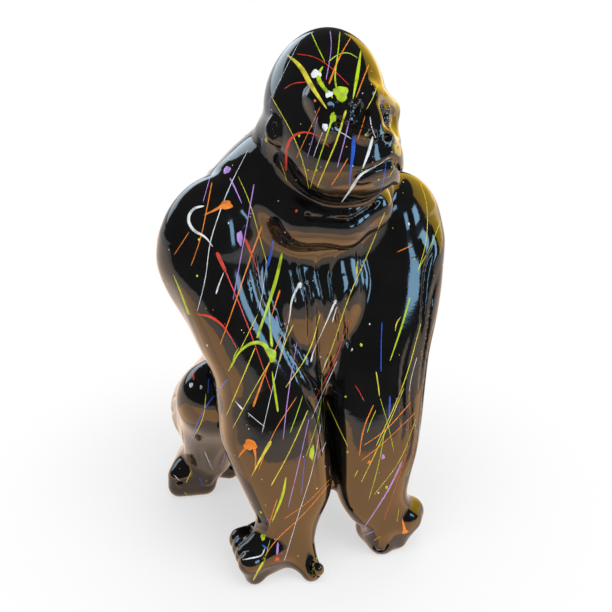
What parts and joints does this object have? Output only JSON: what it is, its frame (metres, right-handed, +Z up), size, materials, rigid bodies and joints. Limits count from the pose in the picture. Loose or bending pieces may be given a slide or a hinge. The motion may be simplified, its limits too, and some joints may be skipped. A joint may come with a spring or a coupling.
{
  "type": "desk figurine",
  "caption": "Glossy black cast gorilla figurine squatting on its haunches with straight arms and knuckles down, head turned, dripped all over with bright paint.",
  "frame": {"origin": "middle of the figure's bounding box, on the plane its hands and feet stand on", "axes": "+Z up to the crown of the head, -Y the way the chest faces, +X to the figure's own left"},
  "size_m": [0.1702, 0.1842, 0.3],
  "materials": {
    "black_gloss": "high gloss clear lacquer over black resin",
    "paint_lime": "dripped gloss paint",
    "paint_yellow": "dripped gloss paint",
    "paint_orange": "dripped gloss paint",
    "paint_red": "dripped gloss paint",
    "paint_violet": "dripped gloss paint",
    "paint_blue": "dripped gloss paint",
    "paint_white": "dripped gloss paint"
  },
  "bodies": {
    "root": {"gorilla_figure": "black_gloss"}
  },
  "joints": []
}
